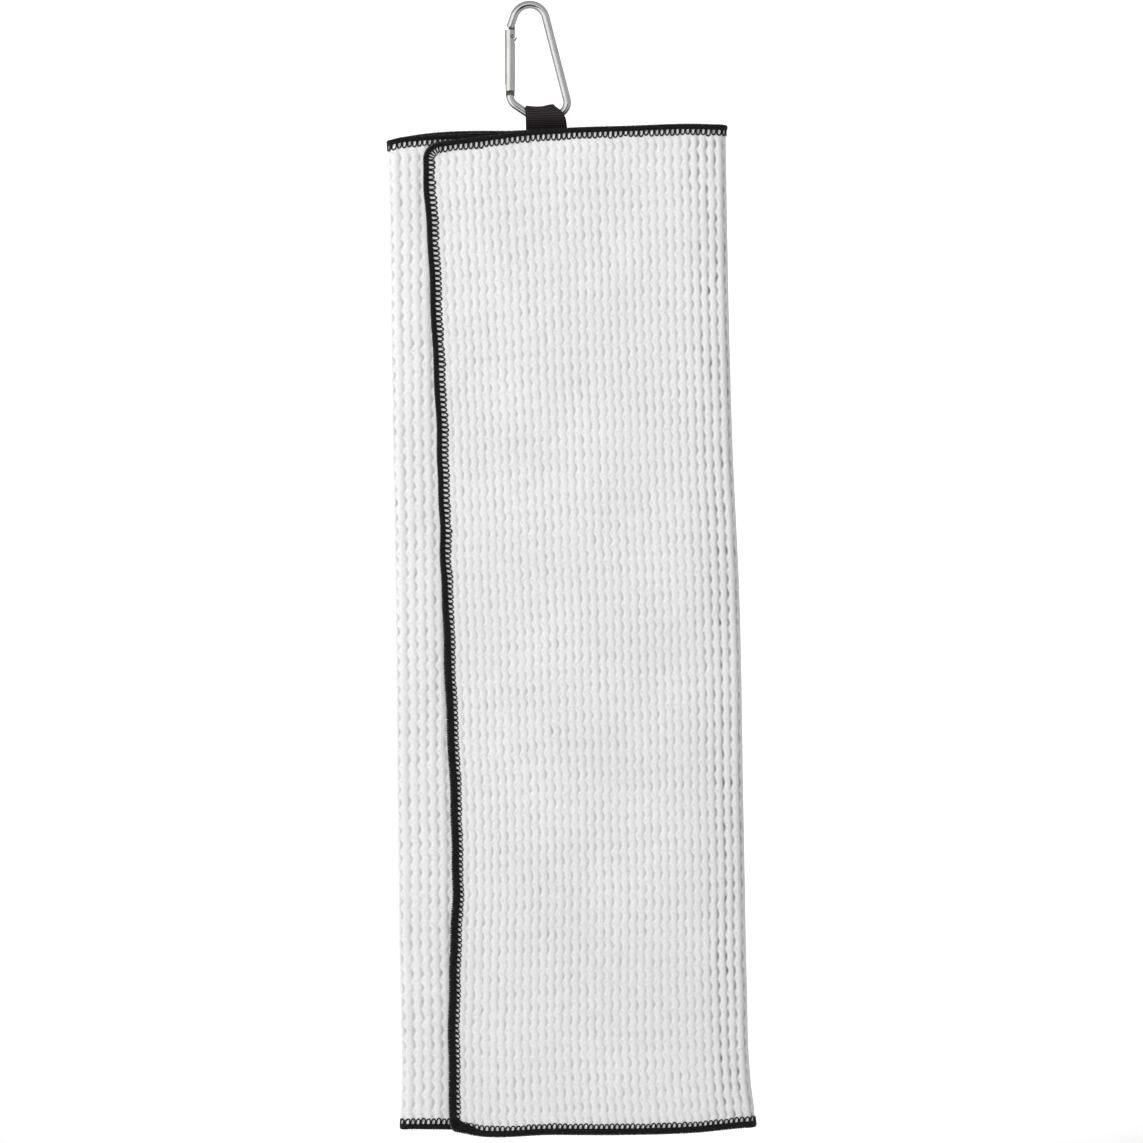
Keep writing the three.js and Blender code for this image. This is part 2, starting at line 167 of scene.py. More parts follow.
# A dark board low at the front, seen only in reflections, draws the shaded line on the hook's crown.
felt, tree = blank_material("dark felt")
dark = add_node(tree, "ShaderNodeBsdfDiffuse", {"Color": colour("#161616")})
add_node(tree, "ShaderNodeOutputMaterial", {"Surface": dark.outputs[0]})
board_left, board_right = -0.4, 0.7
board_back, board_front = (-1.5, 0.02), (-0.5, -1.2)
board = make_piece("dark board", [(board_left, *board_back), (board_right, *board_back),
                                  (board_right, *board_front), (board_left, *board_front)],
                   [(0, 1, 2, 3)], felt)
board.visible_camera = board.visible_diffuse = board.visible_shadow = False

# ---- Snap hook: the rod ------------------------------------------------------------------------
# One aluminium rod, 3.9 mm thick, bent into a D that is wider at its foot, with its spine straight.
# Its two ends are pressed into flat tongues: the gate turns on the upper one and shuts on the lower.


def arc(centre, radius, start, end, step=0.3):
    """Points along an arc in X and Z, in millimetres."""
    count = max(int(abs(end - start) * radius / step), 4)
    turn = np.linspace(start, end, count)
    return np.column_stack([centre[0] + radius * np.cos(turn), centre[1] + radius * np.sin(turn)])


def distance_along(line):
    """How far each point of a line is from its start, measured along it."""
    return np.concatenate([[0], np.cumsum(np.linalg.norm(np.diff(line, axis=0), axis=1))])


def bar_faces(count, sides):
    """The faces of a closed bar made of rings of points: its sides, and a cap at each end."""
    i, j = np.meshgrid(np.arange(count - 1), np.arange(sides), indexing="ij")
    k = (j + 1) % sides
    quads = np.stack([i * sides + j, i * sides + k, (i + 1) * sides + k, (i + 1) * sides + j], -1)
    caps = [list(range(sides))[::-1], list(range((count - 1) * sides, count * sides))]
    return quads.reshape(-1, 4).tolist() + caps


def tube(path, radius, across, sides):
    """Rings of points along a path, and the faces that close them into a round bar."""
    path = np.asarray(path, float)
    count = len(path)
    radius = np.broadcast_to(np.asarray(radius, float), (count,))
    along = np.gradient(path, axis=0)
    along /= np.linalg.norm(along, axis=1, keepdims=True)
    side = np.asarray(across, float) - along * (along @ np.asarray(across, float))[:, None]
    side /= np.linalg.norm(side, axis=1, keepdims=True)
    up = np.cross(along, side)
    turn = 2 * np.pi * np.arange(sides) / sides
    ring = np.cos(turn)[None, :, None] * side[:, None] + np.sin(turn)[None, :, None] * up[:, None]
    points = (path[:, None] + radius[:, None, None] * ring).reshape(-1, 3)
    return points, bar_faces(count, sides)


def join(parts):
    """Several sets of points and faces as one."""
    points, faces, start = [], [], 0
    for more_points, more_faces in parts:
        points.append(more_points)
        faces += [[start + i for i in face] for face in more_faces]
        start += len(more_points)
    return np.concatenate(points), faces


def plate(outline, thickness, bevel):
    """A flat plate in the X-Z plane with its edges eased."""
    outline = np.asarray(outline, float)
    middle = outline.mean(0)
    inset = outline + (middle - outline) / np.linalg.norm(middle - outline, axis=1)[:, None] * bevel
    half = thickness / 2
    count = len(outline)
    levels = [(inset, -half), (outline, -half + bevel), (outline, half - bevel), (inset, half)]
    points = np.concatenate([np.column_stack([flat[:, 0], np.full(count, y), flat[:, 1]])
                             for flat, y in levels])
    return points, bar_faces(len(levels), count)


def finish_edges(piece, bevel, angle=35, rings=()):
    """Eases a cut solid's edges, which are built in millimetres, and scales it to metres."""
    if bevel:
        soften = piece.modifiers.new("eased edges", "BEVEL")
        soften.width, soften.segments, soften.limit_method = bevel, 2, "ANGLE"
        soften.angle_limit = math.radians(angle)
        made = bpy.data.meshes.new_from_object(piece.evaluated_get(bpy.context.evaluated_depsgraph_get()))
        piece.modifiers.clear()
        piece.data = made
    turned = bmesh.new()
    turned.from_mesh(piece.data)
    for z in rings:
        bmesh.ops.bisect_plane(turned, geom=turned.verts[:] + turned.edges[:] + turned.faces[:],
                               plane_co=(0, 0, z), plane_no=(0, 0, 1))
    bmesh.ops.recalc_face_normals(turned, faces=turned.faces)
    turned.to_mesh(piece.data)
    turned.free()
    piece.data.transform(Matrix.Scale(0.001, 4))
    piece.data.shade_smooth()
    piece.data.set_sharp_from_angle(angle=math.radians(angle))


rod_radius = 1.95
gate_x, rod_top_z, rod_foot_z = -9.85, -9.6, -43.25
crown, crown_radius = (0.0, -6.25), 8.2
spine_bend, spine_bend_radius = (12.75, -47.05), 6.0
arm_bend, arm_bend_radius, arm_slope = (1.8, -46.05), 7.0, math.radians(34)
nose_bend, nose_bend_radius = (-3.45, -43.25), 6.4

reach = math.hypot(gate_x - crown[0], rod_top_z - crown[1])
crown_start = (math.atan2(rod_top_z - crown[1], gate_x - crown[0])
               - math.acos(crown_radius / reach) + 2 * math.pi)
spine_length = math.hypot(spine_bend[0] - crown[0], crown[1] - spine_bend[1])
spine_angle = (math.atan2(spine_bend[0] - crown[0], crown[1] - spine_bend[1])
               - math.asin((crown_radius - spine_bend_radius) / spine_length))
arm_end = -math.pi / 2 - arm_slope
rod_line = np.concatenate([
    [(gate_x, rod_top_z)],
    arc(crown, crown_radius, crown_start, spine_angle),
    arc(spine_bend, spine_bend_radius, spine_angle, -math.pi / 2),
    arc(arm_bend, arm_bend_radius, -math.pi / 2, arm_end),
    arc(nose_bend, nose_bend_radius, arm_end, -math.pi),
])
gone = distance_along(rod_line)
rod_rings, rod_sides = 420, 36
spaced = np.linspace(0, gone[-1], rod_rings)
rod_path = np.column_stack([np.interp(spaced, gone, rod_line[:, 0]), np.zeros(rod_rings),
                            np.interp(spaced, gone, rod_line[:, 1])])
from_end = np.minimum(spaced, gone[-1] - spaced)
rod_radii = rod_radius - 0.22 * np.clip(1 - from_end / 0.3, 0, 1)

pivot = (-8.65, -14.0)
tongue = 1.6
eye = arc(pivot, 1.25, -math.pi, 0, 0.2)
hinge_tongue = np.concatenate([[(gate_x - 0.75, rod_top_z + 1.2), (gate_x - 0.75, pivot[1] + 2.0)],
                               eye, [(pivot[0] + 1.25, rod_top_z + 0.6)]])
nose_left, nose_right, nose_top = gate_x - 1.8, gate_x + 1.45, -38.7
nose_foot = [(gate_x - 2.05, rod_foot_z - 0.5), (gate_x + 2.3, rod_foot_z - 0.5), (gate_x + 2.3, -41.4),
             (gate_x - 2.05, -41.4)]
nose_tongue = [(nose_left, rod_foot_z - 1.0), (nose_right, rod_foot_z - 1.0), (nose_right, nose_top),
               (nose_left + 0.8, nose_top), (nose_left, nose_top - 0.8)]


def noise(tree, place, scale, detail, roughness=0.5):
    """Fractal noise as one value."""
    return add_node(tree, "ShaderNodeTexNoise",
                    {"Vector": place, "Scale": scale, "Detail": detail,
                     "Roughness": roughness}).outputs["Fac"]


def shades(tree, value, *stops):
    """A colour that runs from one (place, hex code) stop to the other as the value rises."""
    ramp = add_node(tree, "ShaderNodeValToRGB", {"Fac": value})
    for element, (place, code) in zip(ramp.color_ramp.elements, stops):
        element.position, element.color = place, colour(code)
    return ramp.outputs["Color"]


def surface(tree, tint, height, strength, depth, **qualities):
    """A tinted surface with fine relief, depth in metres, joined to the material's output."""
    bump = add_node(tree, "ShaderNodeBump", {"Height": height, "Strength": strength, "Distance": depth})
    named = {name.replace("_", " "): value for name, value in qualities.items()}
    skin = add_node(tree, "ShaderNodeBsdfPrincipled",
                    {"Base Color": tint, "Normal": bump.outputs[0], **named})
    add_node(tree, "ShaderNodeOutputMaterial", {"Surface": skin.outputs[0]})


# Tumbled aluminium: a soft satin mirror with a grey cast, finely pitted by the tumbling stones
# and a little smoother where it has been handled.
tumbled, tree = blank_material("tumbled aluminium")
spot = add_node(tree, "ShaderNodeTexCoord").outputs["Object"]
pits = noise(tree, spot, 1400.0, 3.0)
clouds = noise(tree, spot, 130.0, 4.0)
rough = moved_range(tree, clouds, 0.3, 0.7, 0.13, 0.22)
surface(tree, shades(tree, clouds, (0.30, "#cfd0cd"), (0.70, "#dfe0de")), pits, 0.25, 0.00006,
        Metallic=1.0, Roughness=rough, Specular_Tint=colour("#8a8b8d"))

# Bare aluminium on the pressed tongues: duller, with marks across from the press. Its dark yellowish grey
# is painted shade for the gaps where the tongues show at the gate's ends.
pressed, tree = blank_material("pressed aluminium with painted shade")
spot = add_node(tree, "ShaderNodeTexCoord").outputs["Object"]
squeezed = add_node(tree, "ShaderNodeMapping", {"Vector": spot, "Scale": (300.0, 300.0, 2500.0)})
marks = noise(tree, squeezed.outputs[0], 1.0, 2.0)
surface(tree, shades(tree, marks, (0.3, "#55544a"), (0.7, "#86856f")), marks, 0.4, 0.00008,
        Metallic=1.0, Roughness=0.48)

points, faces = join([tube(rod_path, rod_radii, (0, 1, 0), rod_sides),
                      plate(hinge_tongue, tongue, 0.15), plate(nose_tongue, tongue, 0.15),
                      plate(nose_foot, tongue + 0.9, 0.2)])
hook_rod = make_piece("hook_rod", points, faces, tumbled)
# The tongues and the nose foot take the second material, dark with painted shade.
hook_rod.data.materials.append(pressed)
rod_face_count = (rod_rings - 1) * rod_sides + 2
for face in hook_rod.data.polygons[rod_face_count:]:
    face.material_index = 1
finish_edges(hook_rod, 0)
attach(hook_rod, "hook")
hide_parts("snap_hook_body")

# ---- Snap hook: the gate -----------------------------------------------------------------------
# A straight aluminium tube, slotted at both ends, that turns on the hook's upper tongue.
# The lower slot drops over the nose. It is tumbled with the rod, so it has the same finish.


def solid_object(name, shape):
    """Turns a finished shape into an object."""
    mesh = bpy.data.meshes.new(name)
    shape.to_mesh(mesh)
    shape.free()
    solid = bpy.data.objects.new(name, mesh)
    bpy.context.scene.collection.objects.link(solid)
    return solid


def round_solid(name, radius, length, centre, axis, sides):
    """A closed cylinder along Y or Z, in millimetres."""
    shape = bmesh.new()
    bmesh.ops.create_cone(shape, cap_ends=True, segments=sides, radius1=radius, radius2=radius,
                          depth=length)
    if axis == "Y":
        shape.transform(Matrix.Rotation(math.pi / 2, 4, "X"))
    shape.transform(Matrix.Translation(centre))
    return solid_object(name, shape)


def square_solid(name, low, high):
    """A closed block between two corners, in millimetres."""
    shape = bmesh.new()
    bmesh.ops.create_cube(shape, size=1.0)
    low, high = Vector(low), Vector(high)
    shape.transform(Matrix.Translation((low + high) / 2) @ Matrix.Diagonal((*(high - low), 1.0)))
    return solid_object(name, shape)


def cut_away(piece, tools):
    """Takes each tool's shape out of the piece."""
    for tool in tools:
        cut = piece.modifiers.new("cut", "BOOLEAN")
        cut.operation, cut.object, cut.solver = "DIFFERENCE", tool, "EXACT"
    bpy.context.view_layer.update()
    made = bpy.data.meshes.new_from_object(piece.evaluated_get(bpy.context.evaluated_depsgraph_get()))
    piece.modifiers.clear()
    piece.data = made
    for tool in tools:
        bpy.data.objects.remove(tool)


gate_radius, gate_bore = 2.5, 1.45
gate_top, gate_bottom = -10.75, -41.25
slot_half = tongue / 2 + 0.3
hinge_slot_end, nose_slot_end = -17.4, -38.0
rivet_radius, rivet_head, rivet_half = 0.55, 0.86, 2.45

gate = round_solid("gate_tube", gate_radius, gate_top - gate_bottom,
                   (gate_x, 0, (gate_top + gate_bottom) / 2), "Z", 72)
recess = rivet_half - 0.65
cut_away(gate, [
    round_solid("bore", gate_bore, hinge_slot_end + 2 - gate_bottom,
                (gate_x, 0, (hinge_slot_end + gate_bottom) / 2), "Z", 40),
    square_solid("hinge slot", (gate_x - gate_radius + 1.1, -slot_half, hinge_slot_end),
                 (gate_x + gate_radius + 1, slot_half, gate_top + 1)),
    square_solid("nose slot", (gate_x - gate_radius - 1, -slot_half, gate_bottom - 1),
                 (gate_x + gate_radius - 0.75, slot_half, nose_slot_end)),
    round_solid("rivet hole", rivet_radius + 0.15, 8, (pivot[0], 0, pivot[1]), "Y", 24),
    round_solid("front recess", rivet_head + 0.15, 2, (pivot[0], -recess - 1, pivot[1]), "Y", 28),
    round_solid("back recess", rivet_head + 0.15, 2, (pivot[0], recess + 1, pivot[1]), "Y", 28),
])
gate.data.materials.clear()
gate.data.materials.append(tumbled)
finish_edges(gate, 0.1, rings=(gate_bottom + 0.25, nose_slot_end + 0.3, hinge_slot_end - 0.3,
                               gate_top - 0.25))
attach(gate, "gate")
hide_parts("gate_sleeve")

# ---- Snap hook: rivet and spring ---------------------------------------------------------------
# A small steel rivet is the gate's pivot. A bent spring wire lies in the gate's bore, bears on the
# hook's tongue and pushes the gate shut; its end shows beside the rivet.

# Plain steel wire and rivet stock: darker than the aluminium, with a dull drawn surface.
steel, tree = blank_material("drawn steel")
spot = add_node(tree, "ShaderNodeTexCoord").outputs["Object"]
grain = noise(tree, spot, 2200.0, 3.0)
surface(tree, shades(tree, grain, (0.3, "#7a7a74"), (0.7, "#b2b2ab")), grain, 0.3, 0.00005,
        Metallic=1.0, Roughness=0.38)

half_profile = [(0.02, rivet_half - 0.12), (0.34, rivet_half - 0.10), (0.46, rivet_half - 0.02),
                (0.62, rivet_half), (0.76, rivet_half - 0.06), (rivet_head, rivet_half - 0.2),
                (rivet_head, rivet_half - 0.5), (rivet_radius, rivet_half - 0.5)]
profile = half_profile + [(r, -y) for r, y in reversed(half_profile)]
sides = 40
turn = 2 * np.pi * np.arange(sides) / sides
points = np.array([[(pivot[0] + r * math.cos(a), y, pivot[1] + r * math.sin(a)) for a in turn]
                   for r, y in profile]).reshape(-1, 3)
rivet = make_piece("rivet", points, bar_faces(len(profile), sides), steel)
finish_edges(rivet, 0)
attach(rivet, "gate")
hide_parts("gate_rivet")

wire_stops = np.array([(gate_x, -33.0), (gate_x, -26.0), (gate_x + 0.1, -19.5),
                       (gate_x + 1.0, pivot[1] - 2.9), (pivot[0] + 1.4, pivot[1] - 1.75),
                       (pivot[0] + 2.05, pivot[1] - 0.4)])


def eased(at, knots, values):
    """A smooth curve through a few set values."""
    knots, values = np.asarray(knots, float), np.asarray(values, float)
    slopes = np.gradient(values, knots)
    i = np.clip(np.searchsorted(knots, at) - 1, 0, len(knots) - 2)
    step = knots[i + 1] - knots[i]
    f = np.clip((at - knots[i]) / step, 0, 1)
    bulge = (f ** 3 - 2 * f ** 2 + f) * slopes[i] + (f ** 3 - f ** 2) * slopes[i + 1]
    return values[i] + (values[i + 1] - values[i]) * f * f * (3 - 2 * f) + bulge * step


knots = np.arange(len(wire_stops))
at = np.linspace(0, knots[-1], 70)
wire = np.column_stack([eased(at, knots, wire_stops[:, 0]), np.zeros_like(at),
                        eased(at, knots, wire_stops[:, 1])])
wire_radius, tip_radius = 0.35, 0.29
tip = np.clip(at - 4.8, 0, 1) / 0.2
points, faces = tube(wire, wire_radius - (wire_radius - tip_radius) * tip, (0, 1, 0), 14)
spring = make_piece("gate_spring_wire", points, faces, steel)
finish_edges(spring, 0)
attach(spring, "gate")
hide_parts("gate_spring")

# ---- Webbing loop ------------------------------------------------------------------------------
# A 20 mm strap of black polyester webbing, 1.1 mm thick, folded round the D's foot. Its two tails
# straddle the towel's top hem. On the right the rod's bend pushes the strap's corner down.


seam_middle = (8.2, -61.5)
tilt = math.radians(1)


def hang_tilt(points):
    """The towel hangs one degree out of true, turned about the middle of the loop's seam."""
    x, z = points[..., 0] - seam_middle[0], points[..., 2] - seam_middle[1]
    return np.stack([seam_middle[0] + x * math.cos(tilt) - z * math.sin(tilt), points[..., 1],
                     seam_middle[1] + z * math.cos(tilt) + x * math.sin(tilt)], -1)


def closed_shell(outer, inner):
    """Joins two grids of points, a face and its back, into one closed sheet."""
    n, m = outer.shape[:2]
    index = np.arange(n * m).reshape(n, m)
    a, b, c, d = index[:-1, :-1], index[1:, :-1], index[1:, 1:], index[:-1, 1:]
    front = np.stack([a, b, c, d], -1).reshape(-1, 4)
    back = front[:, ::-1] + n * m
    rim = np.concatenate([index[0, :], index[1:, -1], index[-1, -2::-1], index[-2:0:-1, 0]])
    then = np.roll(rim, -1)
    edge = np.stack([rim, then, then + n * m, rim + n * m], -1)
    points = np.concatenate([outer.reshape(-1, 3), inner.reshape(-1, 3)])
    return points, np.concatenate([front, back, edge]).tolist()


bar_z, loop_radius, strap_half = -53.05, 4.2, 0.5
back_y, seam_z, tail_z = 3.0, -60.0, -78.0
strap_left = -1.9
tail_offset, flush_offset, flush_z = 2.55, 1.5, -69.4
front_tail, back_tail = back_y - tail_offset, back_y + tail_offset
front_flush, back_flush = back_y - flush_offset, back_y + flush_offset
far = math.hypot(front_tail, seam_z - bar_z)
front_touch = math.atan2(seam_z - bar_z, front_tail) - math.acos(loop_radius / far)
far = math.hypot(back_tail, seam_z - bar_z)
back_touch = math.atan2(seam_z - bar_z, back_tail) + math.acos(loop_radius / far)
round_bar = np.linspace(front_touch, back_touch - 2 * math.pi, 60)
strap_line = np.concatenate([
    [(front_flush, tail_z), (front_flush, flush_z), (front_tail, flush_z + 3), (front_tail, seam_z)],
    np.column_stack([loop_radius * np.cos(round_bar), bar_z + loop_radius * np.sin(round_bar)]),
    [(back_tail, seam_z), (back_tail, flush_z + 3), (back_flush, flush_z), (back_flush, tail_z)],
])
gone = distance_along(strap_line)
rib_pitch = 1.1
along = np.linspace(0, gone[-1], int(gone[-1] / rib_pitch * 7))
line_y, line_z = np.interp(along, gone, strap_line[:, 0]), np.interp(along, gone, strap_line[:, 1])
settle = np.ones(9) / 9
pad = np.pad(np.column_stack([line_y, line_z]), ((4, 4), (0, 0)), mode="reflect", reflect_type="odd")
line_y, line_z = np.convolve(pad[:, 0], settle, "valid"), np.convolve(pad[:, 1], settle, "valid")
slope = np.column_stack([np.gradient(line_y), np.gradient(line_z)])
slope /= np.linalg.norm(slope, axis=1, keepdims=True)
out_y, out_z = -slope[:, 1], slope[:, 0]

across = np.concatenate([[0, 0.012, 0.03], np.linspace(0.05, 0.95, 46), [0.97, 0.988, 1]])
u, run = np.meshgrid(across, along)
ribs = (0.5 + 0.5 * np.cos(2 * np.pi * run / rib_pitch + 0.5 * np.sin(u * 9))) ** 0.8
yarns = np.sin(np.pi * u * 40) * np.where(np.floor(run / rib_pitch) % 2 > 0, 1, -1)
selvedge = np.clip(np.minimum(u, 1 - u) / 0.035, 0, 1) ** 0.5
face_height = (strap_half - 0.14) * (0.45 + 0.55 * selvedge) + (0.24 * ribs + 0.03 * yarns) * selvedge


def strap_face(height):
    """The strap's face at a height off its middle, with its crushed right-hand corner."""
    y = line_y[:, None] + out_y[:, None] * height
    z = line_z[:, None] + out_z[:, None] * height
    loose = np.clip((z - seam_z) / (bar_z + loop_radius - seam_z), 0, 1)
    right = eased(loose, [0, 0.53, 0.76, 0.96, 1.1], [18.9, 17.6, 15.8, 12.9, 11.4])
    x = strap_left + u * (right - strap_left)
    sag = 0.55 * np.sin(np.pi * np.clip((x + 2) / 12, 0, 1)) - 0.45 * np.clip((x - 7) / 5, 0, 1)
    z = z - sag * loose ** 3
    y = y - 0.25 * loose * np.sin(2 * np.pi * (u * 1.3 + 0.15)) * np.sign(-y)
    return hang_tilt(np.stack([x, y, z], -1))


points, faces = closed_shell(strap_face(face_height), strap_face(-face_height))

# Black polyester webbing: ribbed across by its weft, with fine warp yarns along it in its relief. Its
# colour is lighter on each rib's crest, a painted sheen, and darker between the ribs, painted shade. The
# selvedges are tighter and darker.
webbing, tree = blank_material("black polyester webbing")
cloth_place = add_node(tree, "ShaderNodeAttribute", attribute_name="strap_mm").outputs["Vector"]
axes = add_node(tree, "ShaderNodeSeparateXYZ", {0: cloth_place})
warp_pitch = 0.55
warp_turn = worked_out(tree, "MULTIPLY", axes.outputs[0], 2 * math.pi / warp_pitch)
rib_turn = worked_out(tree, "MULTIPLY", axes.outputs[1], 2 * math.pi / rib_pitch)
warp = worked_out(tree, "SINE", warp_turn)
rib = worked_out(tree, "COSINE", rib_turn)
fibres = noise(tree, cloth_place, 3.0, 4.0)
# Painted sheen and shade: the colour lightens towards each rib's crest and darkens between the ribs.
painted_crest_sheen = moved_range(tree, rib, -1.0, 1.0, 0.0, 0.75)
shade = worked_out(tree, "MULTIPLY_ADD", fibres, 0.5, painted_crest_sheen)
high = worked_out(tree, "MULTIPLY_ADD", warp, 0.5, fibres)
surface(tree, shades(tree, shade, (0.30, "#0c0a0b"), (1.0, "#3b3334")), high, 0.5, 0.00008,
        Roughness=0.62, Specular_IOR_Level=0.25, Sheen_Weight=0.06, Sheen_Roughness=0.4)


def note_places(piece, name, places):
    """Keeps each vertex's place in the flat material, in millimetres, for its pattern."""
    attribute = piece.data.attributes.new(name, "FLOAT_VECTOR", "POINT")
    attribute.data.foreach_set("vector", np.ascontiguousarray(places, np.float32).ravel())


strap = make_piece("webbing_strap", points * 0.001, faces, webbing)
strap_places = np.stack([u * 20, run, np.zeros_like(u)], -1).reshape(-1, 3)
note_places(strap, "strap_mm", np.concatenate([strap_places, strap_places + (0.3, 0, 7.0)]))
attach(strap, "towel")
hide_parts("webbing_loop")

# ---- Bar tacks ---------------------------------------------------------------------------------
# Two rows of close zigzag stitching, 14 mm long, that hold both tails and the hem between them.
# The same black polyester thread as the hem.

# Black polyester thread: twisted and slightly glossy, so each strand has a thin soft highlight.
thread, tree = blank_material("black polyester thread")
spot = add_node(tree, "ShaderNodeTexCoord").outputs["Object"]
plies = noise(tree, spot, 3500.0, 2.0)
patches = noise(tree, spot, 260.0, 3.0)
surface(tree, shades(tree, patches, (0.25, "#0c090a"), (0.75, "#1a1516")), plies, 0.8, 0.00012,
        Roughness=0.5, Specular_IOR_Level=0.28, Sheen_Weight=0.04, Sheen_Roughness=0.5)

zigs, zig_reach = 34, 0.62
tack_x, tack_half = 8.3, 7.0
for number, tack_z in [(1, -70.8), (2, -75.2)]:
    parts = []
    for face_y in (front_flush - strap_half - 0.1, back_flush + strap_half + 0.12):
        zig = np.arange(zigs + 1)
        path = np.column_stack([tack_x - tack_half + 2 * tack_half * zig / zigs,
                                np.full(zigs + 1, face_y), tack_z + zig_reach * (-1.0) ** zig])
        parts.append(tube(hang_tilt(path), 0.22, (0, 1, 0), 6))
    for end in (tack_x - tack_half + 0.1, tack_x + tack_half - 0.1):
        path = np.column_stack([np.full(5, end), np.linspace(front_flush - 0.5, back_flush + 0.5, 5),
                                np.full(5, tack_z)])
        parts.append(tube(hang_tilt(path), 0.3, (0, 0, 1), 6))
    points, faces = join(parts)
    tack = make_piece(f"bar_tack_{number}", points * 0.001, faces, thread)
    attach(tack, "towel")
    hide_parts(f"loop_bar_tack_{number}")

# ---- Waffle cloth ------------------------------------------------------------------------------
# One square sheet of white waffle-weave microfibre, about 49 by 50 cm, folded in three: the front
# flap comes round the right fold from the back panel, and the inner flap round the left fold.
# It is made here as flat panels that are then folded and hung, with the weave as real relief.

sheet_height = 500.0
top_corner, foot_corner = 9.0, 4.0
hem_top = -60.5
front_free_x, right_fold_x, left_fold_x, inner_free_x = -49.5, 95.3, -68.1, 92.5
front_y, inner_y = -6.0, -2.2
right_fold = (back_y - front_y) / 2
left_fold = (back_y - inner_y) / 2
front_end = right_fold_x - front_free_x
fold_end = front_end + math.pi * right_fold
back_end = fold_end + right_fold_x - left_fold_x
left_end = back_end + math.pi * left_fold
sheet_width = left_end + inner_free_x - left_fold_x


def drape(s, t):
    """How far each place on the sheet hangs from its true fold lines: sideways, out and up."""
    free = eased(t, [0, 14, 84, 160, 235, 310, 370, 434, 491, 500],
                 [-4.6, -4.1, -1.4, 0.4, 1.5, 3.2, 4.2, 1.2, 0.5, 0.3])
    free = free + 0.35 * np.sin(t / 6.5 + 1.5 * np.sin(t / 31)) * np.sin(t / 19 + 0.4)
    right = eased(t, [0, 60, 160, 235, 345, 434, 464, 480, 492, 500],
                  [-2.6, -2.7, -1.9, 0.2, 0.4, 0.6, 0.9, 1.9, 3.2, 3.3])
    left = eased(t, [0, 14, 120, 235, 330, 420, 470, 500],
                 [0.5, 0.6, 0.2, 0.1, -0.5, -0.8, -0.7, -1.6])
    inner = np.zeros_like(t)
    marks = [0, front_end, fold_end, back_end, left_end, sheet_width]
    sides = np.stack([free, right, right, left, left, inner])
    i = np.clip(np.searchsorted(marks, s) - 1, 0, 4)
    f = (s - np.take(marks, i)) / np.take(np.diff(marks), i)
    low = np.take_along_axis(sides, i[None], 0)[0]
    high = np.take_along_axis(sides, i[None] + 1, 0)[0]
    sideways = low + (high - low) * f
    top = eased(s, [0, 5, 20, 35, 48, 69, 102, 135, 150, fold_end, 246, back_end, 326.4, left_end + 3,
                    left_end + 13, left_end + 33, left_end + 66, sheet_width],
                [-6.2, -5.8, -4.1, -2.5, -0.8, 0.3, 0.8, 1.3, 0.7, 0.7, 0, -3.0, -3.9, -2.6,
                 -1.9, -1.3, -0.1, 0])
    foot = eased(s, [0, 5, 12, 50, 84, 120, 147, fold_end, 246, back_end, left_end, left_end + 13, 380,
                     sheet_width],
                 [0.4, -0.4, -1.9, -2.2, -2.8, -2.4, -0.5, -0.4, -0.8, 1.2, 1.4, 1.2, 0, 0])
    up = top + (foot - top) * t / sheet_height
    return sideways, up


def billow(x, t):
    """The soft waves that all three layers share: they die out at the folds and the loop."""
    ripple = (0.5 + 0.28 * np.sin(x / 21 + 0.9 * np.sin(t / 83) + 0.6)
              + 0.22 * np.sin(t / 47 + x / 60 + 1.7))
    left, right = np.clip((x + 66) / 26, 0, 1), np.clip((95 - x) / 26, 0, 1)
    loop = 1 - np.exp(-((x - 8) / 22) ** 2 - (t / 40) ** 2)
    return -(1.0 + 1.8 * ripple) * left * (2 - left) * right * (2 - right) * loop


def hang(s, t, height):
    """Where a place on the flat sheet ends up: s across it, t down it, at a height off its middle."""
    x, y = np.empty_like(s), np.empty_like(s)
    nx, ny = np.zeros_like(s), np.zeros_like(s)
    part = s <= front_end
    x[part], y[part], ny[part] = front_free_x + s[part], front_y, -1
    part = (s > front_end) & (s <= fold_end)
    turn = (s[part] - front_end) / right_fold - math.pi / 2
    nx[part], ny[part] = np.cos(turn), np.sin(turn)
    x[part] = right_fold_x + right_fold * nx[part]
    y[part] = (back_y + front_y) / 2 + right_fold * ny[part]
    part = (s > fold_end) & (s <= back_end)
    x[part], y[part], ny[part] = right_fold_x - (s[part] - fold_end), back_y, 1
    part = (s > back_end) & (s <= left_end)
    turn = (s[part] - back_end) / left_fold + math.pi / 2
    nx[part], ny[part] = np.cos(turn), np.sin(turn)
    x[part] = left_fold_x + left_fold * nx[part]
    y[part] = (back_y + inner_y) / 2 + left_fold * ny[part]
    part = s > left_end
    x[part], y[part], ny[part] = left_fold_x + (s[part] - left_end), inner_y, -1
    sideways, up = drape(s, t)
    y = y + billow(x, t) + height * ny
    x = x + sideways + height * nx
    return hang_tilt(np.stack([x, y, hem_top - t + up], -1))


cell_height = 7.2
crown_depth, groove_depth, pocket_depth = 0.09, 0.36, 0.14
pressed_half, full_half = 0.76, 0.88
hem_inset = 0.6                      # the raw edge lies this far inside the seam
cloth_rows = 400
weave_marks = [0, fold_end, back_end, sheet_width]
weave_pitch = [4.12, 4.4, 4.75]
rib_marks = np.concatenate([[0], np.cumsum(np.diff(weave_marks) / weave_pitch)])
pulls = np.random.default_rng(7).normal(0, 1, (4, 127, 83))


def pulled(kind, u, v):
    """A smooth random value over the weave, about one to a cell, for its small irregularities."""
    i, j = np.floor(u).astype(int), np.floor(v).astype(int)
    f, g = u - i, v - j
    f, g = f * f * (3 - 2 * f), g * g * (3 - 2 * g)
    table, i, j, i1, j1 = pulls[kind], i % 127, j % 83, (i + 1) % 127, (j + 1) % 83
    return ((table[i, j] * (1 - f) + table[i1, j] * f) * (1 - g)
            + (table[i, j1] * (1 - f) + table[i1, j1] * f) * g)


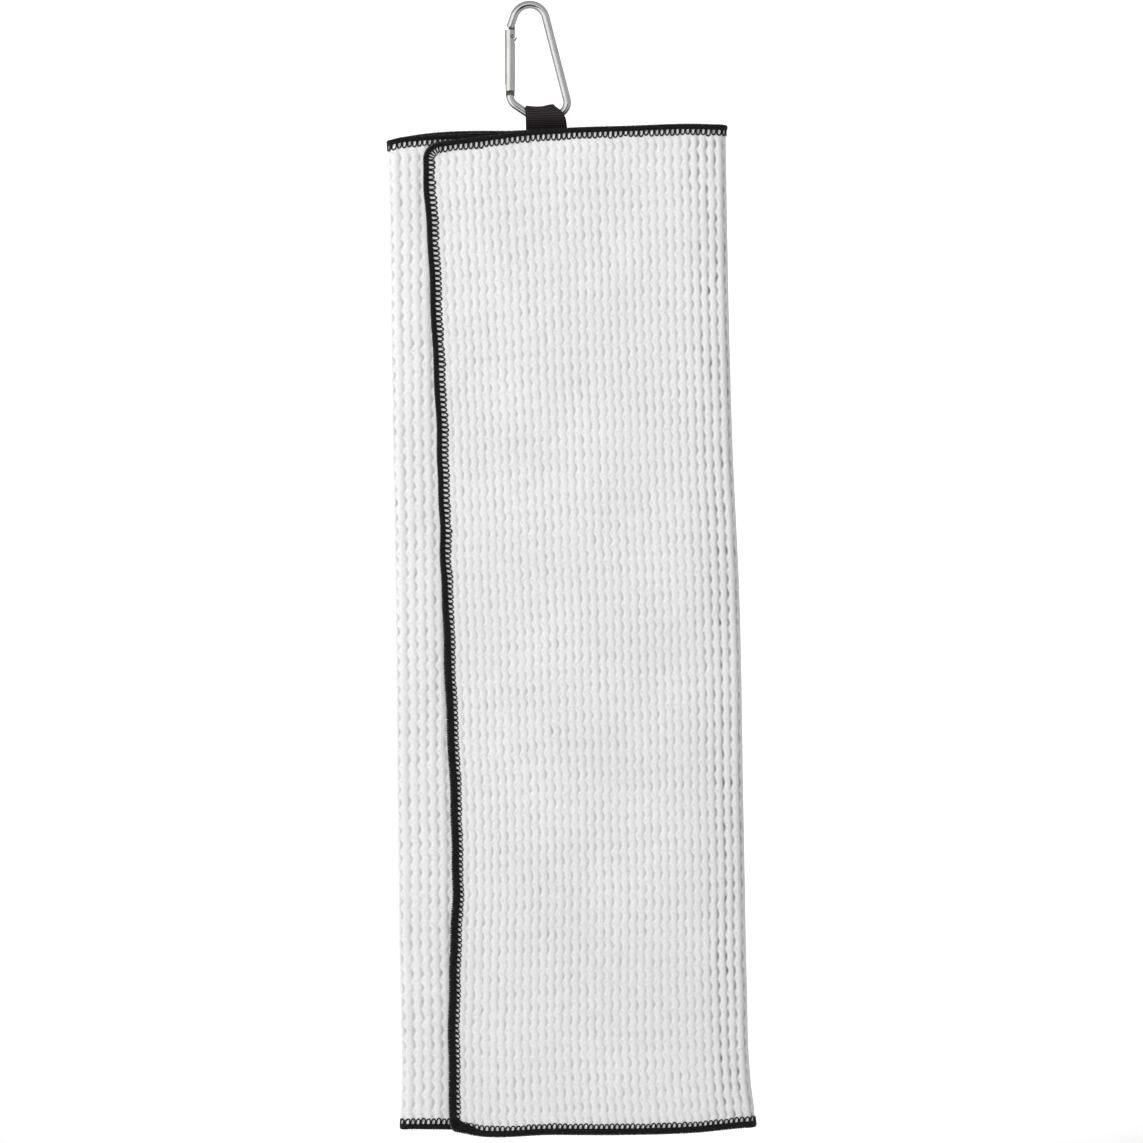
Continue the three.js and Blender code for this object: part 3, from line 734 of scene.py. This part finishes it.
def waffle(rib, v, depth):
    """The weave's relief in millimetres: wavy grooves, deepest where each one leans to the right."""
    off = (rib + 0.5) % 1 - 0.5
    lean = 0.5 - 0.5 * np.cos(2 * np.pi * v)
    slope = np.where(off < 0, np.clip(1 + off / 0.45, 0, 1), 0)
    groove = (0.4 + 0.6 * lean) * np.exp(-(off / 0.17) ** 2)
    return (-crown_depth * np.cos(2 * np.pi * rib) - groove_depth * depth * groove
            - pocket_depth * lean * slope)


def cloth_panel(name, s0, s1, free):
    """A stretch of the sheet as a closed mesh whose columns follow the grooves of the weave."""
    rib0, rib1 = np.interp([s0, s1], weave_marks, rib_marks)
    whole = np.arange(math.floor(rib0) - 1, math.ceil(rib1) + 2)
    columns = (whole[:, None] + np.array([-0.2, 0.0, 0.2, 0.5])[None]).ravel()
    follow = np.tile([1.0, 1.0, 1.0, 0.3], len(whole))
    keep = (columns > rib0 + 0.1) & (columns < rib1 - 0.1)
    columns = np.concatenate([[rib0], columns[keep], [rib1]])
    follow = np.concatenate([[0], follow[keep], [0]])
    down = np.linspace(hem_inset, sheet_height - hem_inset, cloth_rows)
    rib, t = np.meshgrid(columns, down)
    s = np.interp(rib, rib_marks, weave_marks)
    v = t / cell_height + 0.10 * np.sin(s / 13 + 2.0 * np.sin(t / 57)) * np.sin(t / 71 + s / 33)
    v = v + 0.05 * pulled(0, rib, v)
    at_fold = np.exp(-((s - front_end + 3) / 10) ** 2)
    lean = 0.112 * (1 - 0.4 * at_fold) * (1 + 0.22 * pulled(1, rib, v))
    wander = (-lean * np.cos(2 * np.pi * v) + 0.03 * pulled(2, rib, 1.6 * v)
              + 0.06 * np.sin(s / 17 + t / 29 + 1.0) * np.sin(t / 23 - s / 41))
    inside = np.clip(np.minimum(rib - rib0, rib1 - rib), 0, 1)
    s = np.interp(rib + wander * follow * inside, rib_marks, weave_marks)
    # Groove depth varies from cell to cell and grows near the right fold and on the inner flap's side. It
    # shapes the relief, and passed to the material it also sets how dark the painted groove shade is.
    depth = np.clip(0.88 + 0.2 * pulled(3, rib, 1.3 * v), 0.3, 1.5) * (1 + 1.5 * at_fold)
    depth = depth * (1 + 0.3 * (s > back_end))
    if free is not None:
        inward = 1 if free == s0 else -1
        bend = np.where(t < sheet_height / 2, top_corner, foot_corner)
        close = np.clip(bend - np.minimum(t, sheet_height - t), 0, bend)
        corner = bend - np.sqrt(bend ** 2 - close ** 2)
        from_free = np.abs(s - free)
        s = s + inward * (corner + hem_inset) * np.clip(1 - from_free / 30, 0, 1)
        nearest = np.minimum(np.minimum(t, sheet_height - t), np.abs(s - free))
    else:
        nearest = np.minimum(t, sheet_height - t)
    press = np.clip(nearest / 8.5 - 0.15, 0, 1)
    press = press * press * (3 - 2 * press)
    half = pressed_half + (full_half - pressed_half) * press
    # Near the hem the weave is pressed flatter, so its relief and its painted shade both fade.
    depth = depth * (0.25 + 0.75 * press)
    outer = hang(s, t, half + waffle(rib, v, depth))
    inner = hang(s, t, -half - waffle(rib + 0.5, v + 0.5, depth))
    points, faces = closed_shell(outer, inner)
    panel = make_piece(name, points * 0.001, faces, microfibre)
    panel.data.set_sharp_from_angle(angle=math.radians(75))
    # The third value is the groove depth, which the material reads for the strength of its painted shade.
    places = np.stack([rib, v, depth], -1).reshape(-1, 3)
    note_places(panel, "weave", np.concatenate([places, places + (0.5, 0.5, 0)]))
    return panel


# Waffle-weave microfibre: matt white and slightly fluffy, and loose fibres blur every edge. Its colour is
# mixed towards grey as painted shade in the grooves between the wavy ribs, on the slope left of each
# groove and in the small pits on the ribs.
microfibre, tree = blank_material("white waffle microfibre")
weave = add_node(tree, "ShaderNodeAttribute", attribute_name="weave").outputs["Vector"]
axes = add_node(tree, "ShaderNodeSeparateXYZ", {0: weave})
u_out, v_out, deep = axes.outputs[0], axes.outputs[1], axes.outputs[2]
v_turn = worked_out(tree, "MULTIPLY", v_out, 2 * math.pi)
v_wave = worked_out(tree, "COSINE", v_turn)
off = worked_out(tree, "WRAP", u_out, 0.5, -0.5)
away = worked_out(tree, "ABSOLUTE", off)
trench = moved_range(tree, away, 0.0, 0.26, 1.0, 0.0, "SMOOTHSTEP")
lean = moved_range(tree, v_wave, 1.0, -1.0, 0.4, 1.0)
groove = worked_out(tree, "MULTIPLY", worked_out(tree, "MULTIPLY", trench, lean), deep)
uphill = moved_range(tree, off, -0.42, 0.0, 0.0, 1.0)
slope_side = worked_out(tree, "MULTIPLY", uphill, worked_out(tree, "LESS_THAN", off, 0.0))
pocket = worked_out(tree, "MULTIPLY", slope_side, moved_range(tree, v_wave, 1.0, -1.0, 0.0, 1.0))
pit_u = worked_out(tree, "WRAP", worked_out(tree, "SUBTRACT", u_out, 0.33), 0.5, -0.5)
pit_v = worked_out(tree, "MULTIPLY", worked_out(tree, "WRAP", v_out, 0.5, -0.5), 1.5)
pit_place = add_node(tree, "ShaderNodeCombineXYZ", {0: pit_u, 1: pit_v})
pit_away = add_node(tree, "ShaderNodeVectorMath", {0: pit_place.outputs[0]},
                    operation="LENGTH").outputs["Value"]
pit = moved_range(tree, pit_away, 0.0, 0.19, 1.0, 0.0, "SMOOTHSTEP")
spot = add_node(tree, "ShaderNodeTexCoord").outputs["Object"]
fluff = noise(tree, spot, 1700.0, 4.0, 0.65)
tufts = noise(tree, spot, 620.0, 3.0)
broad = noise(tree, spot, 22.0, 3.0)
# Painted shade: the grooves, the slopes beside them and the pits darken the colour towards grey, the
# grooves most where they lean right and where the depth value is large.
shade = worked_out(tree, "MULTIPLY", groove, 0.32)
shade = worked_out(tree, "MULTIPLY_ADD", pocket, 0.09, shade)
shade = worked_out(tree, "MULTIPLY_ADD", pit, 0.07, shade)
blotchy = moved_range(tree, tufts, 0.3, 0.7, -0.07, 0.10)
shade = worked_out(tree, "ADD", shade, blotchy, use_clamp=True)
white = shades(tree, broad, (0.35, "#ecebeb"), (0.65, "#f1f0f0"))
tone = add_node(tree, "ShaderNodeMix", {0: shade, 6: white, 7: colour("#7d7c7c")}, data_type="RGBA")
relief = worked_out(tree, "MULTIPLY_ADD", groove, -0.6, fluff)
relief = worked_out(tree, "MULTIPLY_ADD", pit, -0.8, relief)
surface(tree, tone.outputs[2], relief, 0.8, 0.00028,
        Roughness=0.95, Specular_IOR_Level=0.2, Sheen_Weight=0.12, Sheen_Roughness=0.6)

# The sheet is divided on the back panel, along the crests of three ribs.
right_cut, back_cut, left_cut = np.interp([39.5, 57.5, 75.5], rib_marks, weave_marks)
front_cloth = cloth_panel("front_flap_waffle", 0, right_cut, 0)
back_right_cloth = cloth_panel("back_waffle_right", right_cut, back_cut, None)
back_left_cloth = cloth_panel("back_waffle_left", back_cut, left_cut, None)
inner_cloth = cloth_panel("inner_flap_waffle", left_cut, sheet_width, sheet_width)

# ---- Overlock seam -----------------------------------------------------------------------------
# A three-thread overlock in black polyester round all four sides. The looper threads wrap the raw
# edge in a dense cord, and the needle thread holds their loops in a scalloped row 6 mm in, with
# windows of white cloth between the loops. It starts and ends at the flap's lower corner.


def hem_line(free_s, inward, reach):
    """The sheet's edge round a free side, as places and inward directions half a millimetre apart."""
    top = np.arange(reach, top_corner, -0.5)
    side = np.arange(top_corner, sheet_height - foot_corner, 0.5)
    foot = np.arange(foot_corner, reach, 0.5)
    turn = np.linspace(-math.pi / 2, -math.pi, 20)
    x, z = np.cos(turn), np.sin(turn)
    line = np.concatenate([
        np.column_stack([top, 0 * top, 0 * top, 0 * top + 1]),
        np.column_stack([top_corner * (1 + x), top_corner * (1 + z), -x, -z]),
        np.column_stack([0 * side, side, 0 * side + 1, 0 * side]),
        np.column_stack([foot_corner * (1 + x[::-1]), sheet_height - foot_corner * (1 + z[::-1]),
                         -x[::-1], z[::-1]]),
        np.column_stack([foot, 0 * foot + sheet_height, 0 * foot, 0 * foot - 1]),
    ])
    line[:, 0] = free_s + inward * line[:, 0]
    line[:, 2] *= inward
    return line if inward > 0 else line[::-1]


def straight_hem(s0, s1, t, inward):
    """The sheet's edge along a straight run."""
    s = np.linspace(s0, s1, int(abs(s1 - s0) / 0.5))
    return np.column_stack([s, np.full_like(s, t), np.zeros_like(s), np.full_like(s, inward)])


cord_width, loop_width = 3.2, 5.9
loop_thread, wrap_thread = 0.37, 0.38
pitch = 2.55
wrap_path = np.array([(-0.30, cord_width, 0.88), (-0.22, 2.2, 1.20), (-0.10, 1.2, 1.26),
                      (-0.04, 0.55, 0.95), (0.0, 0.38, 0.0), (0.04, 0.55, -0.95), (0.10, 1.2, -1.26),
                      (0.22, 2.2, -1.20), (0.30, cord_width, -0.88)])
loop_path = np.array([(0.16, 2.5, 1.18), (0.135, 3.5, 1.06), (0.125, 4.5, 0.98), (0.20, 5.2, 0.96),
                      (0.34, 5.58, 0.95), (0.5, 5.7, 0.95), (0.66, 5.58, 0.95), (0.80, 5.2, 0.96),
                      (0.875, 4.5, 0.98), (0.865, 3.5, 1.06), (0.84, 2.5, 1.18)])
loop_path[:, 0] += 0.05 * (loop_path[:, 1] - 4)
chance = np.random.default_rng(11)


def overlock(line, cord_at, loop_at, plump_at):
    """Every thread of the seam along one hem line, sewn in the flat and then hung with the cloth."""
    gone = distance_along(line[:, :2])
    count = int(round(gone[-1] / pitch))
    step = gone[-1] / count
    templates = []
    for k in range(3):
        path = wrap_path * (step, 1, 1)
        path[:, 0] += step * (k + 0.5) / 3
        templates.append((tube(path, wrap_thread, (1, 0, 0), 6), 0.0))
    for face in (1, -1):
        path = loop_path * (step, 1, face)
        templates.append((tube(path, loop_thread, (0, 0, 1), 6), 1.0))
    points, faces, start = [], [], 0
    for (shape, quads), loose in templates:
        at = np.arange(count)[:, None] * step
        jitter = chance.normal(0, 1, (3, count, 1))
        a = shape[None, :, 0] + at + 0.04 * jitter[0]
        e = shape[None, :, 1] * (1 + (0.03 * jitter[1] * loose))
        h = shape[None, :, 2] * (1 + 0.05 * jitter[2])
        points.append(np.stack([a, e, h], -1).reshape(-1, 3))
        each = len(shape)
        quads_only = np.array([q for q in quads if len(q) == 4])
        caps = [q for q in quads if len(q) != 4]
        offsets = start + each * np.arange(count)
        faces += (quads_only[None] + offsets[:, None, None]).reshape(-1, 4).tolist()
        for cap in caps:
            faces += (np.array(cap)[None] + offsets[:, None]).tolist()
        start += each * count
    bed = np.array([(3.1, 0.84), (1.2, 0.95), (0.75, 0.7), (0.7, -0.7), (1.2, -0.95), (3.1, -0.84),
                    (3.1, -0.6), (1.3, -0.5), (1.3, 0.5), (3.1, 0.6)])
    stations = np.arange(0, gone[-1], 1.5)
    ring = len(bed)
    strip = np.stack([np.repeat(stations, ring), np.tile(bed[:, 0], len(stations)),
                      np.tile(bed[:, 1], len(stations))], -1)
    faces += [[start + i for i in face] for face in bar_faces(len(stations), ring)]
    points.append(strip)
    a, e, h = np.concatenate(points).T
    a = np.clip(a, 0, gone[-1])
    cord, loop, plump = cord_at(a), loop_at(a), plump_at(a)
    loop = np.maximum(loop, cord + 0.3)
    e = np.where(e < cord_width, e * cord / cord_width,
                 cord + (e - cord_width) * (loop - cord) / (loop_width - cord_width))
    s = np.interp(a, gone, line[:, 0]) + e * np.interp(a, gone, line[:, 2])
    t = np.interp(a, gone, line[:, 1]) + e * np.interp(a, gone, line[:, 3])
    return hang(s, t, h * plump), faces


def steady(value):
    """A width that stays the same along the seam."""
    return lambda a: np.full_like(a, value)


def seam_piece(name, runs):
    """One mesh of thread from the runs of seam along each edge."""
    points, faces = join(runs)
    return make_piece(name, points * 0.001, faces, thread)


front_line = hem_line(0, 1, right_cut)
side_start = right_cut + 5
side_end = side_start + sheet_height - top_corner - foot_corner
corner_a = side_end + 3


def front_cord(a):
    """The cord's width round the front flap: wider down the free side, widest at the lower corner."""
    return np.interp(a, [side_start + 190, side_start + 250, side_end - 3, corner_a - 1, side_end + 12,
                         side_end + 18], [2.9, 4.0, 4.1, 6.3, 5.6, 3.5])


def front_loop(a):
    """How far in the needle row lies round the front flap."""
    return np.interp(a, [0, side_start, side_end - 5, corner_a, side_end + 16, side_end + 30],
                     [5.9, 6.1, 6.0, 6.7, 6.2, 5.9])


def front_plump(a):
    """How thick the seam is: the threads bunch up at the lower corner."""
    return 1 + 0.25 * np.exp(-((a - corner_a - 2) / 7) ** 2)


front_seam = seam_piece("front_flap_overlock", [overlock(front_line, front_cord, front_loop, front_plump)])
back_seam = seam_piece("back_overlock", [
    overlock(straight_hem(left_cut, right_cut, 0, 1), steady(2.9), steady(5.9), steady(1.0)),
    overlock(straight_hem(right_cut, left_cut, sheet_height, -1), steady(2.9), steady(5.6), steady(1.0)),
])
inner_line = hem_line(sheet_width, -1, sheet_width - left_cut)
inner_seam = seam_piece("inner_flap_overlock",
                        [overlock(inner_line, steady(2.9), steady(5.8), steady(1.0))])

for seam, nodes in [
    (front_seam, ["front_flap_top_edging", "front_flap_side_edging", "front_flap_bottom_edging",
                  "right_fold_top_edging", "right_fold_bottom_edging"]),
    (back_seam, ["back_panel_top_edging", "back_panel_bottom_edging"]),
    (inner_seam, ["inner_flap_top_edging", "inner_flap_side_edging", "inner_flap_bottom_edging",
                  "left_fold_top_edging", "left_fold_bottom_edging"]),
]:
    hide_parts(*nodes)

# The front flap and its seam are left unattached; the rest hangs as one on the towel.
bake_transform(front_cloth)
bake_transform(front_seam)
for piece in (back_right_cloth, back_left_cloth, inner_cloth, back_seam, inner_seam):
    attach(piece, "towel")
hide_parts("front_flap_cloth", "right_fold_cloth")
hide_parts("back_panel_cloth")
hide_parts("back_panel_cloth")
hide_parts("inner_flap_cloth", "left_fold_cloth")
